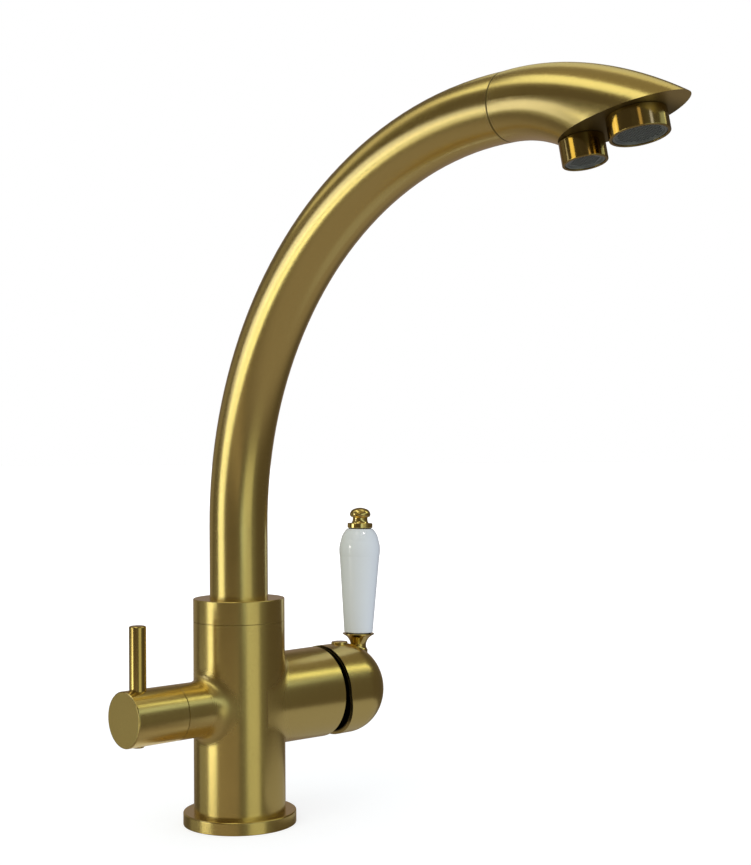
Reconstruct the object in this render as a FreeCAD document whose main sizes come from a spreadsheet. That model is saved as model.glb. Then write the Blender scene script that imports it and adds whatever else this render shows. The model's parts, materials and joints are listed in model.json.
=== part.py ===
import FreeCAD, Part
import math
import os
import Sketcher
from FreeCAD import Placement, Rotation, Vector

# Three way filtered water tap, millimetres.
# Row frame: +Z up, origin on the body's upright axis at the underside of the
# base. The spout points to -Y, the mixer handle is on +X, the filter valve
# on -X. Both branches lie on one axis along X at the branch height.

doc = FreeCAD.newDocument("Tap")
sheet = doc.addObject("Spreadsheet::Sheet", "Sizes")

SIZES = {
    # body
    "body_radius": 22.5, "body_top": 99.1, "branch_height": 58.5,
    "ring_radius": 27.75, "ring_thick": 6.25, "ring_bore": 20.1, "foot_radius": 19.9,
    "shank_radius": 16.5, "shank_depth": 12.0,
    "tail_radius": 5.0, "tail_depth": 10.0, "tail_circle": 9.5, "way_radius": 3.5,
    "mixer_root_radius": 22.35, "mixer_rim_radius": 22.95, "mixer_reach": 50.2,
    "filter_boss_radius": 13.25, "filter_boss_reach": 39.05,
    "mixer_blend": 2.5, "filter_blend": 5.5,
    # swivel
    "swivel_bore": 15.12, "swivel_floor": 81.0, "bush_bore": 17.5, "bush_floor": 95.0,
    "stub_radius": 14.95, "stub_bore": 11.3, "stub_foot": 81.6, "stub_top": 103.0,
    "collar_foot": 99.25, "collar_top": 110.3,
    # spout
    "tube_radius": 14.35, "tube_bore": 13.05, "bend_start": 145.7, "bend_radius": 175.9,
    "bend_angle": 91.69,
    "water_tube_radius": 4.0, "water_tube_bore": 3.0, "elbow_radius": 17.0,
    # head: growth of the three half axes along the bend, per 60 mm of length
    "head_up_a": 3.51, "head_up_b": -4.45, "head_up_c": 1.32,
    "head_side_a": 6.48, "head_side_b": -1.74, "head_side_c": -3.22,
    "head_down_a": -0.77, "head_down_b": 12.37,
    "head_wall": 2.4, "head_floor": 3.0,
    "flat_slope": 11.51, "flat_y": -240.0, "flat_z": 306.8,
    "main_along": 4.17, "main_radius": 11.69, "main_drop": 8.73, "main_hole": 9.95,
    "filter_along": -22.63, "filter_radius": 9.02, "filter_drop": 9.73, "filter_hole": 7.15,
    # mixer cartridge, along +X
    "seat_x": 25.0, "cartridge_radius": 17.5, "pivot_x": 47.0, "ball_arm": 9.0,
    "port_drop": 4.5, "port_rise": 9.0,
    # dome handle
    "dome_radius": 23.22, "dome_rim_x": 53.8, "dome_straight_x": 67.7, "dome_nose": 20.45,
    "dome_bore": 21.0, "dome_bore_x": 70.0, "hub_radius": 8.5, "rim_slope": 13.5,
    "button_x": 66.1, "button_radius": 4.25, "button_top": 82.9,
    # lever
    "lever_x": 79.3, "lever_z": 77.0, "lever_lean": 1.63,
    "cup_rim": 8.35, "cup_neck": 4.15, "cup_top": 9.0,
    "porcelain_foot": 7.55, "porcelain_belly": 10.6, "porcelain_belly_z": 54.6,
    "porcelain_top": 64.6, "porcelain_mouth": 6.9,
    "finial_disc": 6.65, "finial_knob": 5.55, "finial_top": 75.35,
    # filter valve, along -X
    "knob_start": 39.35, "knob_end": 67.45, "pin_reach": 59.5, "pin_radius": 4.0,
    "pin_top": 101.7, "pin_foot": 44.85, "pin_thread": 3.0, "pin_shoulder": 60.0, "valve_seat": 24.0,
}
for row, (alias, number) in enumerate(SIZES.items(), start=1):
    sheet.set("A%d" % row, alias)
    sheet.set("B%d" % row, repr(float(number)))
    sheet.setAlias("B%d" % row, alias)
doc.recompute()


class Dim:
    """A size: its number and the sheet formula that gives it."""

    def __init__(self, value, text):
        self.value = float(value)
        self.text = text

    def __add__(self, other):
        other = dim(other)
        return Dim(self.value + other.value, "(%s + %s)" % (self.text, other.text))

    def __radd__(self, other):
        return dim(other) + self

    def __sub__(self, other):
        other = dim(other)
        return Dim(self.value - other.value, "(%s - %s)" % (self.text, other.text))

    def __rsub__(self, other):
        return dim(other) - self

    def __mul__(self, other):
        other = dim(other)
        return Dim(self.value * other.value, "(%s * %s)" % (self.text, other.text))

    def __rmul__(self, other):
        return dim(other) * self

    def __truediv__(self, other):
        other = dim(other)
        return Dim(self.value / other.value, "(%s / %s)" % (self.text, other.text))

    def __neg__(self):
        return Dim(-self.value, "(0 - %s)" % self.text)


def dim(thing):
    if isinstance(thing, Dim):
        return thing
    number = float(thing)
    return Dim(number, ("%.6f" % number) if number >= 0 else "(0 - %.6f)" % -number)


def S(alias):
    return Dim(SIZES[alias], "Sizes.%s" % alias)


def sin(angle):
    angle = dim(angle)
    return Dim(math.sin(math.radians(angle.value)), "sin(%s)" % angle.text)


def cos(angle):
    angle = dim(angle)
    return Dim(math.cos(math.radians(angle.value)), "cos(%s)" % angle.text)


NODES = {}          # node label -> object that holds its shape


def place(obj, base=(0, 0, 0), axis=(0, 0, 1), angle=0):
    """Put an object where the sheet says."""
    base = [dim(b) for b in base]
    angle = dim(angle)
    obj.Placement = Placement(Vector(*[b.value for b in base]),
                              Rotation(Vector(*axis), angle.value))
    for letter, b in zip("xyz", base):
        if "Sizes." in b.text:
            obj.setExpression("Placement.Base.%s" % letter, b.text)
    if "Sizes." in angle.text:
        obj.setExpression("Placement.Rotation.Angle", angle.text)


def new_body(label, base=(0, 0, 0), axis=(0, 0, 1), angle=0, keep=True):
    body = doc.addObject("PartDesign::Body", label)
    body.Label = label
    place(body, base, axis, angle)
    if keep:
        NODES[label] = body
    return body


def plane(body, role):
    return [f for f in body.Origin.OriginFeatures if f.Role == role][0]


def blank_sketch(body, name, role, offset=None):
    sk = body.newObject("Sketcher::SketchObject", name)
    sk.AttachmentSupport = [(plane(body, role), "")]
    sk.MapMode = "FlatFace"
    if offset is not None:
        offset = dim(offset)
        sk.AttachmentOffset = Placement(Vector(0, 0, offset.value), Rotation())
        if "Sizes." in offset.text:
            sk.setExpression("AttachmentOffset.Base.z", offset.text)
    return sk


def pin_point(sk, geo, pos, x, y, tag):
    for kind, value, axis, letter in (("DistanceX", x, -2, "x"), ("DistanceY", y, -1, "y")):
        if abs(value.value) < 1e-9:
            sk.addConstraint(Sketcher.Constraint("PointOnObject", geo, pos, axis))
            continue
        if value.value > 0:
            ci = sk.addConstraint(Sketcher.Constraint(kind, -1, 1, geo, pos, value.value))
            text = value.text
        else:
            ci = sk.addConstraint(Sketcher.Constraint(kind, geo, pos, -1, 1, -value.value))
            text = (-value).text
        if "Sizes." in text:
            name = "%s_%s" % (tag, letter)
            sk.renameConstraint(ci, name)
            sk.setExpression("Constraints.%s" % name, text)


def outline(body, name, role, points, offset=None):
    """Closed outline. A point is (x, y) or (x, y, radius, side): the edge that
    leaves it is then an arc, whose centre is left (+1) or right (-1) of it."""
    sk = blank_sketch(body, name, role, offset)
    pts = [(dim(p[0]), dim(p[1])) + tuple(p[2:]) for p in points]
    count = len(pts)
    ends = []
    for i, p in enumerate(pts):
        q = pts[(i + 1) % count]
        a = Vector(p[0].value, p[1].value, 0)
        b = Vector(q[0].value, q[1].value, 0)
        if len(p) == 2:
            gi = sk.addGeometry(Part.LineSegment(a, b), False)
            ends.append((gi, 1, 2))
        else:
            r = dim(p[2]).value
            side = p[3]
            chord = b - a
            half = chord.Length / 2
            rise = math.sqrt(max(r * r - half * half, 0.0))
            left = Vector(-chord.y, chord.x, 0).normalize()
            centre = (a + b) * 0.5 + left * rise * side
            a1 = math.atan2(a.y - centre.y, a.x - centre.x)
            b1 = math.atan2(b.y - centre.y, b.x - centre.x)
            circle = Part.Circle(centre, Vector(0, 0, 1), r)
            if side > 0:
                gi = sk.addGeometry(Part.ArcOfCircle(circle, a1, b1), False)
                ends.append((gi, 1, 2))
            else:
                gi = sk.addGeometry(Part.ArcOfCircle(circle, b1, a1), False)
                ends.append((gi, 2, 1))
    for i in range(count):
        gi, start, end = ends[i]
        gj, start2, _ = ends[(i + 1) % count]
        sk.addConstraint(Sketcher.Constraint("Coincident", gi, end, gj, start2))
    for i, p in enumerate(pts):
        gi, start, end = ends[i]
        pin_point(sk, gi, start, p[0], p[1], "p%d" % i)
        if len(p) == 4:
            r = dim(p[2])
            ci = sk.addConstraint(Sketcher.Constraint("Radius", gi, r.value))
            if "Sizes." in r.text:
                sk.renameConstraint(ci, "r%d" % i)
                sk.setExpression("Constraints.r%d" % i, r.text)
    return sk


def circles(body, name, role, rounds, offset=None):
    """Sketch of full circles, each (x, y, radius)."""
    sk = blank_sketch(body, name, role, offset)
    for i, (x, y, r) in enumerate(rounds):
        x, y, r = dim(x), dim(y), dim(r)
        gi = sk.addGeometry(Part.Circle(Vector(x.value, y.value, 0), Vector(0, 0, 1), r.value), False)
        pin_point(sk, gi, 3, x, y, "c%d" % i)
        ci = sk.addConstraint(Sketcher.Constraint("Radius", gi, r.value))
        if "Sizes." in r.text:
            sk.renameConstraint(ci, "r%d" % i)
            sk.setExpression("Constraints.r%d" % i, r.text)
    return sk


def polygon_points(sides, across, turn=0.0):
    """Corners of a regular polygon, from its size across flats."""
    r = dim(across) / (2 * math.cos(math.pi / sides))
    return [(r * math.cos(2 * math.pi * k / sides + turn), r * math.sin(2 * math.pi * k / sides + turn))
            for k in range(sides)]


def rectangle(y0, z0, y1, z1):
    return [(y0, z0), (y1, z0), (y1, z1), (y0, z1)]


def turn(body, name, points, about="V_Axis", role="XZ_Plane"):
    sk = outline(body, name + "_sketch", role, points)
    rev = body.newObject("PartDesign::Revolution", name)
    rev.Profile = sk
    rev.ReferenceAxis = (sk, [about])
    rev.Angle = 360.0
    return rev


def groove(body, name, points, about="V_Axis", role="XZ_Plane"):
    doc.recompute()
    before = body.Shape.Volume
    sk = outline(body, name + "_sketch", role, points)
    g = body.newObject("PartDesign::Groove", name)
    g.Profile = sk
    g.ReferenceAxis = (sk, [about])
    g.Angle = 360.0
    doc.recompute()
    if not body.Shape.Volume < before - 1e-6:
        raise RuntimeError("groove %s cuts nothing" % name)
    return g


def pad(body, name, sk, length, reverse=False):
    p = body.newObject("PartDesign::Pad", name)
    p.Profile = sk
    length = dim(length)
    p.Length = length.value
    if "Sizes." in length.text:
        p.setExpression("Length", length.text)
    p.Reversed = reverse
    return p


def pocket(body, name, sk, length=None, both=False, reverse=False):
    """Pocket of a length, or through all. The volume has to fall."""
    doc.recompute()
    before = body.Shape.Volume
    p = body.newObject("PartDesign::Pocket", name)
    p.Profile = sk
    if length is None:
        p.Type = "ThroughAll"
    else:
        length = dim(length)
        p.Length = length.value
        if "Sizes." in length.text:
            p.setExpression("Length", length.text)
    p.Midplane = both
    p.Reversed = reverse
    doc.recompute()
    if not body.Shape.Volume < before - 1e-6:
        raise RuntimeError("pocket %s cuts nothing" % name)
    return p


def soften(body, name, size, wanted, kind="Fillet"):
    """Fillet or chamfer the edges that a test picks."""
    doc.recompute()
    base = body.Tip
    picked = ["Edge%d" % (i + 1) for i, e in enumerate(base.Shape.Edges) if wanted(e)]
    if not picked:
        raise RuntimeError("no edges for %s" % name)
    f = body.newObject("PartDesign::" + kind, name)
    f.Base = (base, picked)
    size = dim(size)
    prop = "Radius" if kind == "Fillet" else "Size"
    setattr(f, prop, size.value)
    if "Sizes." in size.text:
        f.setExpression(prop, size.text)
    doc.recompute()
    return f


def round_at(height, radius, tol=0.02, axis="z"):
    """Test for a circular edge about the part's own axis."""
    height, radius = dim(height).value, dim(radius).value

    def test(e):
        c = getattr(e, "Curve", None)
        if not isinstance(c, Part.Circle):
            return False
        along = {"x": c.Center.x, "y": c.Center.y, "z": c.Center.z}[axis]
        return abs(c.Radius - radius) < tol and abs(along - height) < tol
    return test


def any_of(*tests):
    return lambda e: any(t(e) for t in tests)


def solid(kind, name, sizes, base=(0, 0, 0), axis=(0, 0, 1), angle=0):
    """A Part primitive whose sizes and place follow the sheet."""
    o = doc.addObject("Part::" + kind, name)
    for prop, value in sizes.items():
        value = dim(value)
        setattr(o, prop, value.value)
        if "Sizes." in value.text:
            o.setExpression(prop, value.text)
    place(o, base, axis, angle)
    return o


def rod(name, radius, length, base, axis=(0, 0, 1), angle=0):
    return solid("Cylinder", name, {"Radius": radius, "Height": length}, base, axis, angle)


ALONG_X = ((0, 1, 0), 90)       # turns a cylinder's axis to +X
ALONG_BACK_X = ((0, 1, 0), -90)  # to -X
ALONG_Y = ((1, 0, 0), -90)      # to +Y


def join(name, parts):
    o = doc.addObject("Part::MultiFuse", name)
    o.Shapes = parts
    return o


def cut(name, base, tools, node=None):
    o = doc.addObject("Part::Cut", name)
    o.Base = base
    o.Tool = join(name + "_tools", tools) if isinstance(tools, list) and len(tools) > 1 else (
        tools[0] if isinstance(tools, list) else tools)
    if node:
        o.Label = node
        NODES[node] = o
    return o


H = S("branch_height")

# ---------------------------------------------------------------- tap body
# Casting: its own origin is where the branch axis crosses the upright axis.
casting = new_body("body_casting", (0, 0, H), keep=False)
turn(casting, "column", [
    (0, -H), (S("foot_radius"), -H), (S("foot_radius"), S("ring_thick") - H),
    (S("body_radius"), S("ring_thick") - H), (S("body_radius"), S("body_top") - H),
    (0, S("body_top") - H)])
turn(casting, "mixer_boss", [
    (0, 0), (S("mixer_reach"), 0), (S("mixer_reach"), S("mixer_rim_radius")),
    (0, S("mixer_root_radius"))], about="H_Axis")
turn(casting, "filter_boss", [
    (0, 0), (0, S("filter_boss_radius")), (-S("filter_boss_reach"), S("filter_boss_radius")),
    (-S("filter_boss_reach"), 0)], about="H_Axis")


def junction(side):
    def test(e):
        b = e.BoundBox
        if side < 0:
            return b.XMax < -12 and b.XMin > -24 and b.YLength > 20 and b.ZLength > 20
        return b.XMin > -2 and b.XMax < 24 and b.YLength > 15 and b.ZLength > 15
    return test


soften(casting, "filter_boss_blend", S("filter_blend"), junction(-1))
soften(casting, "mixer_boss_blend", S("mixer_blend"), junction(1))
soften(casting, "edge_softening", 0.12, any_of(
    round_at(S("body_top") - H, S("body_radius")),
    round_at(-S("filter_boss_reach"), S("filter_boss_radius"), axis="x")))
soften(casting, "mixer_rim_softening", 0.3, round_at(S("mixer_reach"), S("mixer_rim_radius"), axis="x"))

hot = (S("tail_circle") * 0.5, S("tail_circle") * 0.8660254)
low_port = H - S("port_drop")
waterways = [
    rod("shank_way", S("shank_radius"), S("shank_depth") + 1, (0, 0, -1)),
    rod("swivel_way", S("swivel_bore"), S("bush_floor") - S("swivel_floor") + 0.5, (0, 0, S("swivel_floor"))),
    rod("bush_way", S("bush_bore"), S("body_top") - S("bush_floor") + 1, (0, 0, S("bush_floor"))),
    rod("retaining_way", 2.5, 10, (0, 13.5, 92.6), *ALONG_Y),
    rod("cartridge_way", S("cartridge_radius") + 0.1, 16.5, (S("seat_x"), 0, H), *ALONG_X),
    rod("nut_way", 19.4, S("mixer_reach") - 41 + 1, (41, 0, H), *ALONG_X),
    rod("mixed_way", S("way_radius"), S("seat_x") - 8 + 0.5, (8, 0, H + S("port_rise")), *ALONG_X),
    rod("valve_way", 9.6, S("filter_boss_reach") - S("valve_seat") + 1, (-S("valve_seat"), 0, H), *ALONG_BACK_X),
    rod("filter_in_way", 2.3, S("valve_seat") - S("tail_circle") + 0.5, (-S("tail_circle"), 0, H - 4), *ALONG_BACK_X),
    rod("filter_out_way", 2.3, S("valve_seat") + 0.5, (0, 0, H + 4), *ALONG_BACK_X),
    rod("filter_rise", 2.3, 5, (0, 0, H + 4)),
    rod("water_tube_way", S("water_tube_radius") + 0.05, 11, (0, 0, H + 7.5)),
    rod("water_seal_way", 5.9, 1.9, (0, 0, 69.05)),
    rod("filter_up_way", S("way_radius"), 36, (-S("tail_circle"), 0, 21)),
]
for tag, sign in (("hot", 1), ("cold", -1)):
    waterways += [
        rod(tag + "_up_way", S("way_radius") - 0.2, low_port + 0.5 - 21, (hot[0], sign * hot[1], 21)),
        rod(tag + "_in_way", S("way_radius"), S("seat_x") - hot[0] + 2.5, (hot[0] - 2, sign * hot[1], low_port),
            *ALONG_X),
        rod(tag + "_tail_way", S("tail_radius"), S("tail_depth") + 1, (hot[0], sign * hot[1], S("shank_depth") - 1)),
    ]
waterways.append(rod("filter_tail_way", S("tail_radius"), S("tail_depth") + 1,
                     (-S("tail_circle"), 0, S("shank_depth") - 1)))
# Ring-shaped mixed water chamber round the inner tube's pedestal.
chamber = rod("chamber", 10.5, S("swivel_floor") - 66 + 0.5, (0, 0, 66))
pedestal = rod("pedestal", 7.5, 10, (0, 0, 66))
waterways.append(cut("ring_chamber", chamber, pedestal))
cut("tap_body_cut", casting, waterways, "tap_body")

ring = new_body("base_ring")
turn(ring, "ring_disc", [(S("ring_bore"), 0), (S("ring_radius"), 0), (S("ring_radius"), S("ring_thick")),
                         (S("ring_bore"), S("ring_thick"))])
groove(ring, "gasket_groove", [(22, -1), (26, -1), (26, 2), (22, 2)])
soften(ring, "ring_top_edge", 0.7, round_at(S("ring_thick"), S("ring_radius")))
soften(ring, "ring_foot_edge", 0.3, round_at(0, S("ring_radius")))

gasket = new_body("base_gasket")
turn(gasket, "gasket_ring", [(22.1, 0), (25.9, 0), (25.9, 1.95), (22.1, 1.95)])

# ---------------------------------------------------------------- swivel
bush = new_body("swivel_bush")
turn(bush, "bush_sleeve", [
    (S("stub_radius") + 0.06, S("bush_floor") + 0.05), (S("bush_bore") - 0.1, S("bush_floor") + 0.05),
    (S("bush_bore") - 0.1, S("body_top") - 0.15), (S("stub_radius") + 0.06, S("body_top") - 0.15)])

screw = new_body("spout_retaining_screw", (0, 0, 92.6))
turn(screw, "screw_body", [(0, 13.7), (1.1, 13.7), (1.1, 16.0), (2.45, 16.4), (2.45, 21.6), (2.2, 21.9), (0, 21.9)],
     role="XY_Plane")
pocket(screw, "screw_hex", outline(screw, "screw_hex_sketch", "XZ_Plane", polygon_points(6, 2.5), -21.9), 2.2, reverse=True)

stub = new_body("spout_stub")
turn(stub, "stub_sleeve", [
    (S("stub_bore"), S("stub_foot")), (S("stub_radius") - 0.5, S("stub_foot")),
    (S("stub_radius"), S("stub_foot") + 0.5), (S("stub_radius"), S("stub_top")),
    (S("stub_bore"), S("stub_top"))])
for i, z in enumerate((84.6, 88.4)):
    groove(stub, "o_ring_groove_%d" % (i + 1), [(13.05, z - 1.2), (16, z - 1.2), (16, z + 1.2), (13.05, z + 1.2)])
groove(stub, "retaining_groove", [(13.3, 91.2), (16, 91.2), (16, 94.0), (13.3, 94.0)])

rings = [solid("Torus", "stub_ring_%d" % (i + 1), {"Radius1": 14.08, "Radius2": 1.0}, (0, 0, z))
         for i, z in enumerate((84.6, 88.4))]
pair = doc.addObject("Part::Compound", "spout_o_rings")
pair.Links = rings
pair.Label = "spout_o_rings"
NODES["spout_o_rings"] = pair

collar = new_body("spout_collar")
turn(collar, "collar_ring", [
    (S("stub_radius") + 0.03, S("collar_foot")), (S("body_radius"), S("collar_foot")),
    (S("body_radius"), S("collar_top")), (S("tube_radius") + 0.03, S("collar_top")),
    (S("tube_radius") + 0.03, S("stub_top")), (S("stub_radius") + 0.03, S("stub_top"))])
soften(collar, "collar_top_edge", 0.45, round_at(S("collar_top"), S("body_radius")))
soften(collar, "collar_foot_edge", 0.1, round_at(S("collar_foot"), S("body_radius")))

# ---------------------------------------------------------------- spout tube
R = S("bend_radius")


def bend_point(angle_deg):
    """Point of the spout's centreline, as (y, z), at an angle of the bend."""
    return (-R + R * cos(angle_deg), S("bend_start") + R * sin(angle_deg))


def spine(body, name, start_z, end_angle, tail=()):
    """Centreline sketch on the plane across X: a straight, then the bend,
    then optional further (end, radius, side) arcs and straight ends."""
    sk = blank_sketch(body, name, "YZ_Plane")
    z0, z1 = dim(start_z), S("bend_start")
    line = sk.addGeometry(Part.LineSegment(Vector(0, z0.value, 0), Vector(0, z1.value, 0)), False)
    end = bend_point(end_angle)
    r = R.value
    ang = math.radians(dim(end_angle).value)
    arc = sk.addGeometry(Part.ArcOfCircle(Part.Circle(Vector(-r, z1.value, 0), Vector(0, 0, 1), r), 0.0, ang), False)
    sk.addConstraint(Sketcher.Constraint("Coincident", line, 2, arc, 1))
    pin_point(sk, line, 1, dim(0), z0, "foot")
    pin_point(sk, line, 2, dim(0), z1, "start")
    pin_point(sk, arc, 2, end[0], end[1], "end")
    ci = sk.addConstraint(Sketcher.Constraint("Radius", arc, r))
    sk.renameConstraint(ci, "bend")
    sk.setExpression("Constraints.bend", R.text)
    last = (arc, 2)
    for i, piece in enumerate(tail):
        (ey, ez), radius, side = piece
        if radius is None:
            b0 = sk.getPoint(*last)
            gi = sk.addGeometry(Part.LineSegment(b0, Vector(ey.value, ez.value, 0)), False)
            sk.addConstraint(Sketcher.Constraint("Coincident", last[0], last[1], gi, 1))
            pin_point(sk, gi, 2, ey, ez, "tail%d" % i)
            last = (gi, 2)
        else:
            b0 = sk.getPoint(*last)
            b1 = Vector(ey.value, ez.value, 0)
            rr = dim(radius).value
            chord = b1 - b0
            left = Vector(-chord.y, chord.x, 0).normalize()
            centre = (b0 + b1) * 0.5 + left * math.sqrt(rr * rr - (chord.Length / 2) ** 2) * side
            t0 = math.atan2(b0.y - centre.y, b0.x - centre.x)
            t1 = math.atan2(b1.y - centre.y, b1.x - centre.x)
            gi = sk.addGeometry(Part.ArcOfCircle(Part.Circle(centre, Vector(0, 0, 1), rr), t0, t1), False)
            sk.addConstraint(Sketcher.Constraint("Coincident", last[0], last[1], gi, 1))
            pin_point(sk, gi, 2, ey, ez, "tail%d" % i)
            ci = sk.addConstraint(Sketcher.Constraint("Radius", gi, rr))
            if "Sizes." in dim(radius).text:
                sk.renameConstraint(ci, "tail_r%d" % i)
                sk.setExpression("Constraints.tail_r%d" % i, dim(radius).text)
            last = (gi, 2)
    return sk


def pipe(body, name, outer, inner, start_z, path):
    prof = circles(body, name + "_ring", "XY_Plane", [(0, 0, outer), (0, 0, inner)], start_z)
    doc.recompute()
    p = body.newObject("PartDesign::AdditivePipe", name)
    p.Profile = prof
    p.Spine = (path, ["Edge%d" % (i + 1) for i in range(path.GeometryCount)])
    return p


SEAM = 0.12                                  # half width of the seam groove
seam_turn = SEAM / SIZES["bend_radius"] * 180 / math.pi
tube = new_body("spout_tube")
pipe(tube, "tube_wall", S("tube_radius"), S("tube_bore"), S("stub_top"),
     spine(tube, "tube_line", S("stub_top"), S("bend_angle") - seam_turn))

# Geometry of the flat under the head.
slope = S("flat_slope")
n_y, n_z = -sin(slope), -cos(slope)          # out of the flat, downwards
f_y, f_z = -cos(slope), sin(slope)           # along the flat, to the tip


def on_flat(along, out=0):
    along, out = dim(along), dim(out)
    return (S("flat_y") + along * f_y + out * n_y, S("flat_z") + along * f_z + out * n_z)


# Inner tube for filtered water: bend, elbow, then down the small outlet's axis.
rb = SIZES["elbow_radius"]
fy, fz = [v.value for v in on_flat(S("filter_along"))]
ny, nz = n_y.value, n_z.value
oy, oz = -SIZES["bend_radius"], SIZES["bend_start"]
side_y, side_z = -nz, ny                     # to the right of the outlet's axis, towards the body
if side_y < 0:
    side_y, side_z = -side_y, -side_z
# elbow centre: rb from the outlet's axis, (bend radius - rb) from the bend's centre
py, pz = fy + side_y * rb, fz + side_z * rb
by, bz = py - oy, pz - oz
reach = SIZES["bend_radius"] - rb
proj = by * ny + bz * nz
rise = -proj - math.sqrt(proj * proj - (by * by + bz * bz - reach * reach))
cy, cz = py + ny * rise, pz + nz * rise
elbow_angle = math.degrees(math.atan2(cz - oz, cy - oy))
foot_y, foot_z = cy - side_y * rb, cz - side_z * rb
elbow_rise = (foot_y - fy) * ny + (foot_z - fz) * nz
print("elbow centre", round(cy, 2), round(cz, 2), "angle", round(elbow_angle, 2),
      "elbow ends", round(-elbow_rise, 2), "above the flat")


def bend_piece(name, centre, bend, radius, start, sweep):
    """Part of a ring in the plane across X, from an angle of that plane."""
    o = solid("Torus", name, {"Radius1": bend, "Radius2": radius, "Angle3": sweep},
              (0, centre[0], centre[1]))
    o.Placement = Placement(o.Placement.Base, Rotation(Vector(1, 0, 0), start)
                            * Rotation(Vector(1, 1, 1), 120))
    return o


elbow_end = on_flat(S("filter_along"), elbow_rise)
elbow_sweep = math.degrees(math.atan2(foot_z - cz, foot_y - cy)) % 360 - elbow_angle


def tube_line(tag, radius, extra):
    return join("water_tube_" + tag, [
        rod("water_tube_rise_" + tag, radius, S("bend_start") - 66.9 + extra, (0, 0, 66.9 - extra)),
        bend_piece("water_tube_bend_" + tag, (-R, S("bend_start")), R, radius, 0, elbow_angle),
        bend_piece("water_tube_elbow_" + tag, (cy, cz), S("elbow_radius"), radius, elbow_angle, elbow_sweep),
        rod("water_tube_drop_" + tag, radius, 0.6 - elbow_rise - 1.2 + extra,
            (0,) + elbow_end, (1, 0, 0), 180 - slope)])


cut("water_tube_cut", tube_line("outside", S("water_tube_radius"), 0),
    tube_line("inside", S("water_tube_bore"), 1), "filter_water_tube")

seal = solid("Torus", "water_tube_o_ring", {"Radius1": 4.96, "Radius2": 0.9}, (0, 0, 70))
seal.Label = "water_tube_o_ring"
NODES["water_tube_o_ring"] = seal

# ---------------------------------------------------------------- spout head
# A free shape: half ellipses across the bend's continuation, above and below
# its centreline, then a flat cut underneath.
TH0 = math.radians(SIZES["bend_angle"])
RB = SIZES["bend_radius"]
TR = SIZES["tube_radius"]


def axes(length):
    u = length / 60.0
    g = SIZES
    up = TR + g["head_up_a"] * u + g["head_up_b"] * u * u + g["head_up_c"] * u ** 3
    side = TR + g["head_side_a"] * u + g["head_side_b"] * u * u + g["head_side_c"] * u ** 3
    down = TR + g["head_down_a"] * u + g["head_down_b"] * u * u
    return up, side, down


def section(length, up, side, down):
    th = TH0 + length / RB
    centre = Vector(0, -RB + RB * math.cos(th), SIZES["bend_start"] + RB * math.sin(th))
    out = Vector(0, math.cos(th), math.sin(th))
    across = Vector(1, 0, 0)
    edges = []
    steps = 16
    for low, high, height in ((0, math.pi, up), (math.pi, 2 * math.pi, down)):
        angles = [low + (high - low) * i / steps for i in range(steps + 1)]
        pts = [centre + across * (side * math.cos(a)) + out * (height * math.sin(a)) for a in angles]
        tan0 = across * (-side * math.sin(angles[0])) + out * (height * math.cos(angles[0]))
        tan1 = across * (-side * math.sin(angles[-1])) + out * (height * math.cos(angles[-1]))
        curve = Part.BSplineCurve()
        curve.interpolate(Points=pts, Parameters=angles, InitialTangent=tan0, FinalTangent=tan1, Scale=False)
        edges.append(curve.toShape())
    return Part.Wire(edges)


def ring_section(length, radius):
    return section(length, radius, radius, radius)


outer_stations = [SEAM, 7, 14, 21, 28, 36, 44, 52, 60, 68, 76, 84, 92, 99, 104.5]
outer_form = Part.makeLoft([section(s, *axes(s)) for s in outer_stations], True, False)
wall = SIZES["head_wall"]
inner_wires = [ring_section(SEAM, 11.0), ring_section(3, 11.2)]
for s in (9, 16, 24, 32, 40, 48, 56, 64, 71, 77):
    up, side, down = axes(s)
    ease = min(1.0, (s - 3) / 13.0)
    lost = (TR - 11.2) + (wall - (TR - 11.2)) * ease
    inner_wires.append(section(s, up - lost, side - lost, down - lost))
inner_form = Part.makeLoft(inner_wires, True, False)

head_form = doc.addObject("Part::Feature", "head_form")
head_form.Shape = outer_form
head_hollow = doc.addObject("Part::Feature", "head_hollow")
head_hollow.Shape = inner_form

# Spigot that enters the tube: part of a ring about the bend's centre.
th = TH0 + SEAM / RB
spigot_base = Vector(0, -RB + RB * math.cos(th), SIZES["bend_start"] + RB * math.sin(th))
spigot_dir = Vector(0, -math.sin(th), math.cos(th))
disc = Part.Face([Part.Wire(Part.makeCircle(12.9, spigot_base, spigot_dir))])
bore = Part.Face([Part.Wire(Part.makeCircle(11.0, spigot_base, spigot_dir))])
centre_of_bend = Vector(0, -RB, SIZES["bend_start"])
spigot = doc.addObject("Part::Feature", "head_spigot")
spigot.Shape = disc.revolve(centre_of_bend, Vector(1, 0, 0), -math.degrees(9.0 / RB))
spigot_hole = doc.addObject("Part::Feature", "head_spigot_bore")
spigot_hole.Shape = bore.revolve(centre_of_bend, Vector(1, 0, 0), -math.degrees(9.6 / RB))


def below_flat(name, lift):
    """A block whose top lies on the flat, or above it by a lift."""
    oy_, oz_ = on_flat(0, -dim(lift))
    # corner of the block: 60 to the side, 90 back along the flat, 90 down
    return solid("Box", name, {"Length": 120, "Width": 180, "Height": 90},
                 (-60, oy_ + 90 * f_y + 90 * n_y, oz_ + 90 * f_z + 90 * n_z),
                 (1, 0, 0), -slope)


def outlet_rod(name, radius, along, lift, length):
    """A cylinder on an outlet's axis, from a lift above the flat downwards."""
    oy_, oz_ = on_flat(along, -dim(lift))
    return rod(name, radius, length, (0, oy_, oz_), (1, 0, 0), 180 - slope)


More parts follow.
